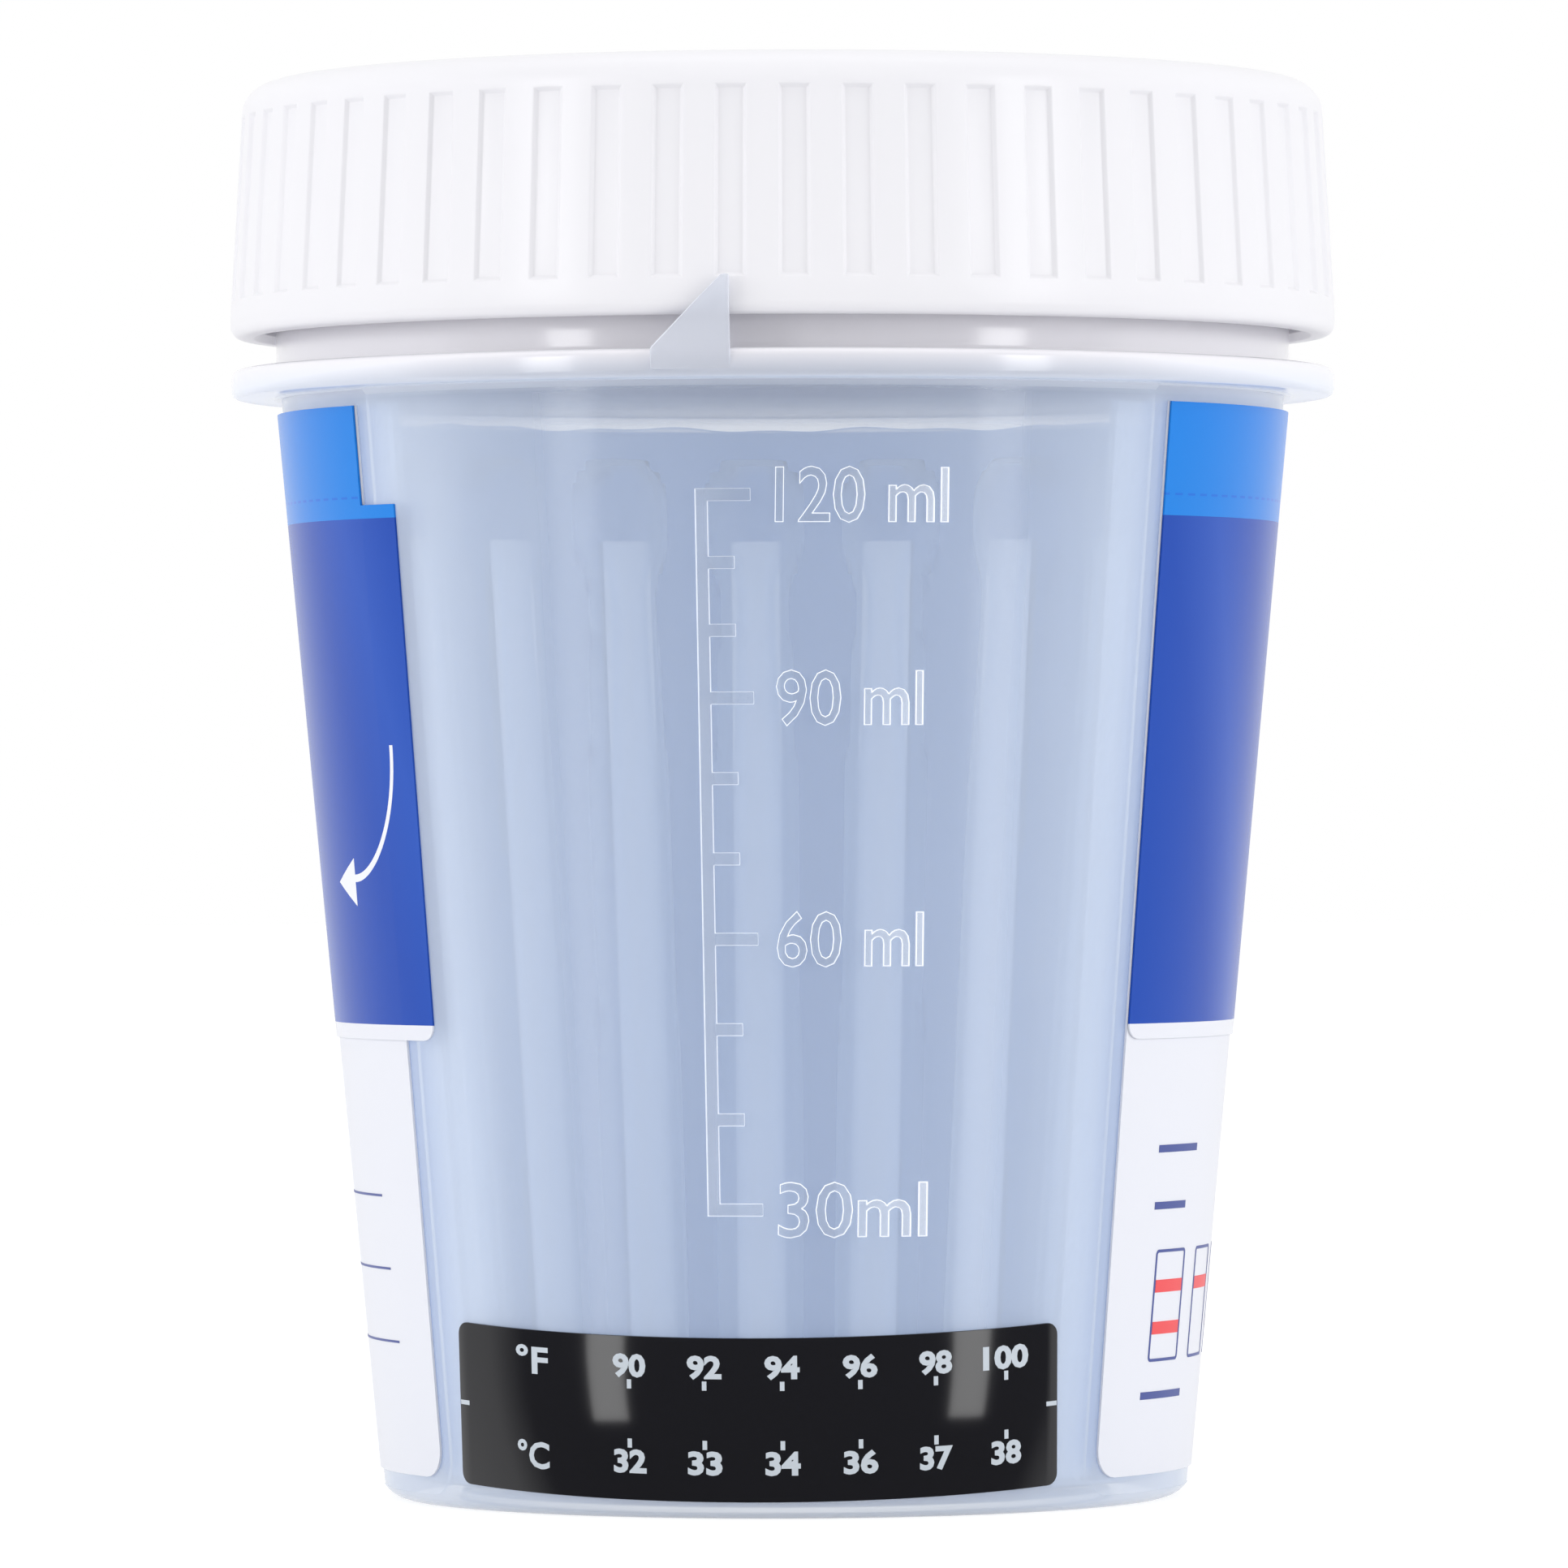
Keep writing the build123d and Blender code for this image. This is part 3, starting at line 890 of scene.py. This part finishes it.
# The strip holder: one bottle-shaped flute shaped from a grid and copied round the back
flute = {
    "count": 14,
    "pitch": 18.0,
    "margin": 6.0,
    "foot": 2.0,
    "top": 73.4,
    "inset": 2.105,
    "depth": 2.7,
    "halfBody": 2.75,
    "halfWaist": 2.2,
    "halfHead": 3.35,
    "shoulder": 18,
    "waist": 61.5,
    "head": 66.0,
    "dome": 68.2,
    "domeTop": 70.9,
    "flatness": 2.6,
    "roundness": 0.62,
    "depthEase": 1.6,
    "shell": 0.6,
    "columns": 26,
    "rows": 90,
}
# The holder's upper rim is an uneven weld: waves as (height, waves in a turn, start in radians)
weld = {"band": 0.5, "drop": 0.1, "waves": [(0.12, 13, 0), (0.08, 31, 1)]}


def eased(share):
    return share * share * (3 - 2 * share)


def fluteHalfWidth(height):
    waist, head = flute["halfWaist"], flute["halfHead"]
    if height < flute["waist"]:
        share = eased(max(0.0, 1 - (flute["waist"] - height) / flute["shoulder"]))
        return flute["halfBody"] + (waist - flute["halfBody"]) * share
    if height < flute["head"]:
        return waist + (head - waist) * eased((height - flute["waist"]) / (flute["head"] - flute["waist"]))
    if height < flute["dome"]:
        return head
    share = min(1.0, (height - flute["dome"]) / (flute["domeTop"] - flute["dome"]))
    return head * math.sqrt(max(0.0, 1 - share * share))


def fluteDepth(across, height):
    half = fluteHalfWidth(height)
    if abs(across) >= half:
        return 0.0
    bulge = (1 - (abs(across) / half) ** flute["flatness"]) ** flute["roundness"]
    return flute["depth"] * bulge * min(1.0, half / flute["halfHead"] * flute["depthEase"])


def makeFlute():
    bpy.ops.object.select_all(action="DESELECT")
    bpy.ops.mesh.primitive_grid_add(
        x_subdivisions=flute["columns"], y_subdivisions=flute["rows"], size=1, location=(0, 0, 0)
    )
    piece = justAdded("stripHolder")
    tall = flute["top"] - flute["foot"]
    first = 180 - flute["pitch"] * (flute["count"] - 1) / 2
    for point in piece.data.vertices:
        angle = point.co.x * flute["pitch"]
        height = flute["foot"] + (point.co.y + 0.5) * tall
        across = math.radians(angle) * (wallRadius(height) - flute["inset"])
        point.co = onWall(first + angle, height, -flute["inset"] - fluteDepth(across, height))
    return piece


def addEndBand(holder, side):
    # a plain band that runs on past the last flute on one side
    border = 180 + side * flute["pitch"] * flute["count"] / 2
    pickPoints(holder, lambda co: abs(math.degrees(math.atan2(co.x, -co.y)) % 360 - border) < 0.1)
    bpy.ops.mesh.select_mode(type="EDGE")
    bpy.ops.mesh.extrude_edges_move(TRANSFORM_OT_translate={"value": (0, 0, 0)})
    shape = bmesh.from_edit_mesh(holder.data)
    for point in shape.verts:
        if point.select:
            point.co = Matrix.Rotation(math.radians(side * flute["margin"]), 3, "Z") @ point.co
    bmesh.update_edit_mesh(holder.data)
    bpy.ops.mesh.select_mode(type="VERT")
    bpy.ops.mesh.select_all(action="DESELECT")


def makeHolder():
    flutes = copiedRound(makeFlute(), [flute["pitch"] * i for i in range(1, flute["count"])])
    holder = joined("stripHolder", flutes)
    startEdit(holder, "VERT")
    weldPoints(0.02)
    bpy.ops.mesh.select_all(action="DESELECT")
    for side in (-1, 1):
        addEndBand(holder, side)
    faceOutwards()
    endEdit()
    for point in holder.data.vertices:
        if point.co.z > (flute["top"] - weld["band"]) * mm:
            turn = math.atan2(point.co.x, -point.co.y)
            rise = sum(size * math.sin(turn * count + start) for size, count, start in weld["waves"])
            point.co.z += (rise - weld["drop"]) * mm
    thicken(holder, flute["shell"], offset=0)
    smoothShade(holder, 50)
    return holder


finishPiece(makeHolder(), [holderPlastic], "cup", ["strip_holder"])

# The white base label, the blue peel label over it, both from right to left round the back, and their print.
# A label's or a print's out is how far its inner side lies outside the wall.
labels = {
    "right": 53.5,
    "left": -51.0,
    "low": 2.1,
    "high": 73.4,
    "rounding": 2.0,
    "thickness": 0.18,
    "out": -0.23,
    "slice": 1.0,
}
labelSpan = (360 + labels["left"] - labels["right"]) * degreeLength
peel = {"low": 31.3, "step": 66.8, "tab": 6.5, "rounding": 1.0, "thickness": 0.14, "out": 0.0}
ink = {"thickness": 0.02, "onBase": -0.045, "onPeel": 0.13, "slice": 1.0}


def makeBaseLabel():
    tall = labels["high"] - labels["low"]
    label = flatPlate("baseLabel", 0, labelSpan, 0, tall, labels["rounding"], "low")
    sliceAcross(label, labels["slice"])
    thicken(label, labels["thickness"])
    wrapOnWall(label, labels["right"], labels["low"], straight=True, out=labels["out"])
    unrolledMap(label)
    return label


def colourInside(label):
    # the side that faces the cup gets the second material
    for face in label.data.polygons:
        centre = face.center.normalized()
        if face.normal.dot(Vector((centre.x, centre.y, 0))) < -0.3:
            face.material_index = 1


def makePeelLabel():
    # the lower part ends in a lift tab on the left, and the torn-off upper part stops short of it
    step = peel["step"] - peel["low"]
    right = labelSpan + peel["tab"] * degreeLength
    label = flatPlate("peelLabel", 0, right, 0, step, peel["rounding"], "low")
    startEdit(label, "VERT")
    pickAll()
    bpy.ops.mesh.bisect(plane_co=(labelSpan * mm, 0, 0), plane_no=(1, 0, 0))
    pickPoints(label, lambda co: co.y > (step - 0.01) * mm and co.x < (labelSpan + 0.01) * mm)
    bpy.ops.mesh.select_mode(type="EDGE")
    rise = (labels["high"] - peel["step"]) * mm
    bpy.ops.mesh.extrude_edges_move(TRANSFORM_OT_translate={"value": (0, rise, 0)})
    endEdit()
    faceUp(label)
    sliceAcross(label, labels["slice"])
    thicken(label, peel["thickness"])
    wrapOnWall(label, labels["right"], peel["low"], straight=True, out=peel["out"])
    unrolledMap(label)
    return label


def finishInk(name, parts, material, slot, angle, height, out, bowed=False):
    marks = joined(name, parts)
    sliceAcross(marks, ink["slice"])
    wrapOnWall(marks, angle, height, out=out, bowed=bowed)
    smoothShade(marks, 40)
    finishPiece(marks, [material], "cup")


def inkPlate(left, right, low, high):
    return flatPlate("ink", left, right, low, high, thickness=ink["thickness"])


def outlineBox(left, right, low, high, line):
    box = flatPlate("box", left, right, low, high, rounding=0.35)
    startEdit(box)
    pickAll()
    bpy.ops.mesh.inset(thickness=line * mm)
    bpy.ops.mesh.delete(type="FACE")
    endEdit()
    thicken(box, ink["thickness"])
    return box


resultBoxes = {
    "angle": 68.4,
    "height": 13.4,
    "count": 5,
    "gap": 6.9,
    "wide": 4.6,
    "tall": 7.5,
    "line": 0.2,
    "barLevels": [1.3, -1.5],
    "barTall": 0.84,
    "barInset": 0.05,
}


def makeResultBoxes():
    # each box has a control bar, and every other one has a test bar too
    frames, bars = [], []
    half, tall = resultBoxes["wide"] / 2, resultBoxes["tall"] / 2
    inner = half - resultBoxes["line"] - resultBoxes["barInset"]
    barHalf = resultBoxes["barTall"] / 2
    for i in range(resultBoxes["count"]):
        middle = resultBoxes["gap"] * i
        frames.append(outlineBox(middle - half, middle + half, -tall, tall, resultBoxes["line"]))
        levels = resultBoxes["barLevels"] if i % 2 == 0 else resultBoxes["barLevels"][:1]
        for level in levels:
            bars.append(inkPlate(middle - inner, middle + inner, level - barHalf, level + barHalf))
    place = (resultBoxes["angle"], resultBoxes["height"], ink["onBase"])
    finishInk("resultBoxes", frames, printNavy, "label_film", *place)
    finishInk("resultBars", bars, printRed, "label_film", *place)


entryLines = {"angle": -62.0, "levels": [20.8, 15.9, 11.0], "length": 22.0, "shift": 0.4, "line": 0.16}


def makeEntryLines():
    half = entryLines["line"] / 2
    parts = []
    for i, level in enumerate(entryLines["levels"]):
        end = entryLines["shift"] * i
        parts.append(inkPlate(end - entryLines["length"], end, level - half, level + half))
    finishInk("entryLines", parts, printNavy, "label_film", entryLines["angle"], 0.0, ink["onBase"])


arrow = {
    "angle": -48.3,
    "height": 50.9,
    "across": 6.65,
    "drop": 9.1,
    "line": 0.055,
    "segments": 96,
    "headLong": 3.2,
    "headTall": 3.2,
}


def makeArrow():
    # a quarter of an oval ring that ends in a point: the way in which the label is peeled
    bpy.ops.object.select_all(action="DESELECT")
    bpy.ops.mesh.primitive_circle_add(vertices=arrow["segments"], radius=1, location=(0, 0, 0))
    stroke = justAdded("stroke")
    startEdit(stroke, "EDGE")
    pickAll()
    bpy.ops.mesh.extrude_edges_move(TRANSFORM_OT_translate={"value": (0, 0, 0)})
    thin = 1 - arrow["line"]
    bpy.ops.transform.resize(value=(thin, thin, 1), center_override=(0, 0, 0))
    for way in ((-1, 0, 0), (0, 1, 0)):
        pickAll()
        bpy.ops.mesh.bisect(plane_co=(0, 0, 0), plane_no=way, clear_outer=True)
    endEdit()
    stroke.scale = (arrow["across"] * mm, arrow["drop"] * mm, 1)
    stroke.location = (-arrow["across"] * mm, 0, 0)
    settle(stroke)
    bpy.ops.mesh.primitive_circle_add(vertices=3, radius=1, fill_type="NGON", location=(0, 0, 0))
    head = justAdded("head")
    for point in head.data.vertices:
        # the unit triangle points along +Y, from -0.5 to 1, and is sqrt(3) wide
        along = (point.co.y + 0.5) / 1.5
        aside = point.co.x / math.sqrt(0.75)
        left = -arrow["across"] - along * arrow["headLong"]
        level = aside * arrow["headTall"] / 2 - arrow["drop"]
        point.co = Vector((left * mm, level * mm, 0))
    for part in (stroke, head):
        faceUp(part)
        thicken(part, ink["thickness"])
    place = (arrow["angle"], arrow["height"], ink["onPeel"])
    finishInk("peelArrow", [stroke, head], printPaper, "peel_film", *place)


# Plain bars stand where the label has short lines of words: (height, length)
keyBars = {"angle": 62.5, "bars": [(23.9, 6.0), (20.1, 4.6), (7.4, 6.4)], "tall": 0.5}


def makeKeyBars():
    half = keyBars["tall"] / 2
    parts = [inkPlate(0, length, level - half, level + half) for level, length in keyBars["bars"]]
    finishInk("keyBars", parts, printNavy, "label_film", keyBars["angle"], 0.0, ink["onBase"])


notePanel = {"angle": 190.0, "height": 17.0, "wide": 40.0, "tall": 20.0, "line": 0.25}


def makeNotePanel():
    across, up = notePanel["wide"] / 2, notePanel["tall"] / 2
    box = outlineBox(-across, across, -up, up, notePanel["line"])
    place = (notePanel["angle"], notePanel["height"], ink["onBase"])
    finishInk("notePanel", [box], printNavy, "label_film", *place)


baseLabel = makeBaseLabel()
finishPiece(baseLabel, [whiteFilm, backFilm], "cup", ["base_label"])
colourInside(baseLabel)
smoothShade(baseLabel, 40)
peelLabel = makePeelLabel()
finishPiece(peelLabel, [peelFilm], "cup", ["peel_label"])
smoothShade(peelLabel, 40)
makeResultBoxes()
makeEntryLines()
makeArrow()
makeKeyBars()
makeNotePanel()
print("labels ready")

# The black temperature strip at the foot and its two rows of numbers, with a tick at each
thermo = {
    "half": 21.77,
    "tall": 10.8,
    "low": 1.2,
    "rounding": 0.8,
    "thickness": 0.2,
    "edge": 0.05,
    "slice": 1.0,
}
thermoPrint = {
    "upper": ["90", "92", "94", "96", "98", "100"],
    "lower": ["32", "33", "34", "36", "37", "38"],
    "units": ["°F", "°C"],
    "upperLevel": 8.85,
    "lowerLevel": 2.55,
    "firstAngle": -16.1,
    "pitch": 10.43,
    "digitHeight": 1.6,
    "digitWidth": 1.15,
    "digitWeight": 0.4,
    "unitAngle": -31.0,
    "unitHeight": 1.9,
    "unitWidth": 2.6,
    "unitWeight": 0.25,
    "tick": 0.7,
    "tickWide": 0.3,
    "tickGap": 0.1,
    "endTickLow": 5.3,
    "endTickHigh": 5.6,
    "endTickLong": 0.85,
}


def makeThermo():
    half = thermo["half"]
    strip = flatPlate("temperatureStrip", -half, half, 0, thermo["tall"], thermo["rounding"])
    sliceAcross(strip, thermo["slice"])
    thicken(strip, thermo["thickness"])
    softenEdges(strip, thermo["edge"])
    wrapOnWall(strip, 0, thermo["low"], bowed=True)
    unrolledMap(strip)
    smoothShade(strip, 40)
    return strip


def thermoText(words, height, width, weight, across, level):
    return shifted(flatText(words, height, width, ink["thickness"], weight=weight), across, level)


def makeThermoPrint():
    parts = []
    arc = math.radians(1) * wallRadius(thermo["low"] + thermo["tall"] / 2)
    wide, tick, gap = thermoPrint["tickWide"] / 2, thermoPrint["tick"], thermoPrint["tickGap"]
    height, weight = thermoPrint["digitHeight"], thermoPrint["digitWeight"]
    upperLevel, lowerLevel = thermoPrint["upperLevel"], thermoPrint["lowerLevel"]
    for i, (upper, lower) in enumerate(zip(thermoPrint["upper"], thermoPrint["lower"])):
        across = (thermoPrint["firstAngle"] + thermoPrint["pitch"] * i) * arc
        for words, level in ((upper, upperLevel), (lower, lowerLevel)):
            width = thermoPrint["digitWidth"] * len(words)
            parts.append(thermoText(words, height, width, weight, across, level))
        high, low = upperLevel - height / 2, lowerLevel + height / 2
        parts.append(inkPlate(across - wide, across + wide, high - tick, high - gap))
        parts.append(inkPlate(across - wide, across + wide, low + gap, low + tick))
    height, width, weight = (thermoPrint[key] for key in ("unitHeight", "unitWidth", "unitWeight"))
    for words, level in zip(thermoPrint["units"], (upperLevel, lowerLevel)):
        parts.append(thermoText(words, height, width, weight, thermoPrint["unitAngle"] * arc, level))
    end = thermo["half"] - gap
    start = end - thermoPrint["endTickLong"]
    for left, right in ((-end, -start), (start, end)):
        parts.append(inkPlate(left, right, thermoPrint["endTickLow"], thermoPrint["endTickHigh"]))
    place = (0, thermo["low"], thermo["thickness"])
    finishInk("temperaturePrint", parts, printWhite, "thermo_film", *place, bowed=True)


finishPiece(makeThermo(), [blackFilm], "cup", ["temperature_strip"])
makeThermoPrint()

# The screw cap: a turned shell with grooves between its ribs, and a thread inside
cap = {
    "middle": 2.0,
    "ceiling": 94.4,
    "ceilingEdge": 0.5,
    "inner": 35.5,
    "mouth": 0.4,
    "mouthHeight": 0.5,
    "bottom": 78.6,
    "hemRound": 0.8,
    "radius": 37.5,
    "taper": 3.4,
    "bandTop": 80.2,
    "cornerOut": 0.13,
    "topRound": 2.1,
    "top": 95.8,
    "topRing": 20.0,
    "ribs": 56,
    "ribLow": 81.0,
    "ribHigh": 93.5,
    "ribDepth": 0.3,
    "ribSlope": 0.22,
    "ribEdge": 0.07,
    "threadStart": 82.4,
    "threadTurns": 1.25,
}


def skirtRadius(height):
    lean = math.tan(math.radians(cap["taper"]))
    return cap["radius"] - max(0.0, height - cap["bandTop"]) * lean


def makeCap():
    inner, edge, hem, corner = cap["inner"], cap["ceilingEdge"], cap["hemRound"], cap["topRound"]
    hemCentre = (cap["radius"] - hem, cap["bottom"] + hem)
    cornerCentre = (skirtRadius(cap["top"]) - corner + cap["cornerOut"], cap["top"] - corner)
    rings = [(cap["middle"], cap["ceiling"]), (inner - edge, cap["ceiling"]), (inner, cap["ceiling"] - edge)]
    rings += [(inner, cap["bottom"] + cap["mouthHeight"]), (inner + cap["mouth"], cap["bottom"])]
    rings += arcRings(hemCentre, hem, -90, 0, 5)
    rings += [(skirtRadius(height), height) for height in (cap["bandTop"], cap["ribLow"], cap["ribHigh"])]
    rings += arcRings(cornerCentre, corner, cap["taper"], 90, 8)
    rings += [(cap["topRing"], cap["top"]), (cap["middle"], cap["top"])]
    piece = turned("screwCap", rings, cap["ribs"] * 4)
    pitch = math.tau / cap["ribs"]
    low, high, outside = cap["ribLow"] * mm, cap["ribHigh"] * mm, (inner + 0.5) * mm

    def inGroove(centre):
        turn = math.atan2(centre.x, -centre.y)
        offset = (turn + pitch / 2) % pitch - pitch / 2
        onSkirt = low < centre.z < high and math.hypot(centre.x, centre.y) > outside
        return onSkirt and abs(offset) < pitch / 4

    startEdit(piece)
    pickFaces(piece, inGroove)
    bpy.ops.mesh.inset(thickness=cap["ribSlope"] * mm, depth=-cap["ribDepth"] * mm)
    endEdit()
    softenEdges(piece, cap["ribEdge"], sharperThan=28)
    smoothShade(piece, 50)
    return piece


finishPiece(makeCap(), [capPlastic], "cap", ["screw_cap"])
capThread = makeThread("capThread", cap["inner"], cap["threadStart"], cap["threadTurns"], inward=True)
finishPiece(capThread, [capPlastic], "cap")

# The sealing disc and the test strips keep their shapes from the frame
keptLooks = {"liner": linerFoam, "card": cardStock, "membrane": membranePaper, "pads": padFibre}
for name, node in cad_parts.items():
    material = keptLooks.get(name.split("_")[-1])
    if material:
        node.data.materials.clear()
        node.data.materials.append(material)

print("all pieces made")
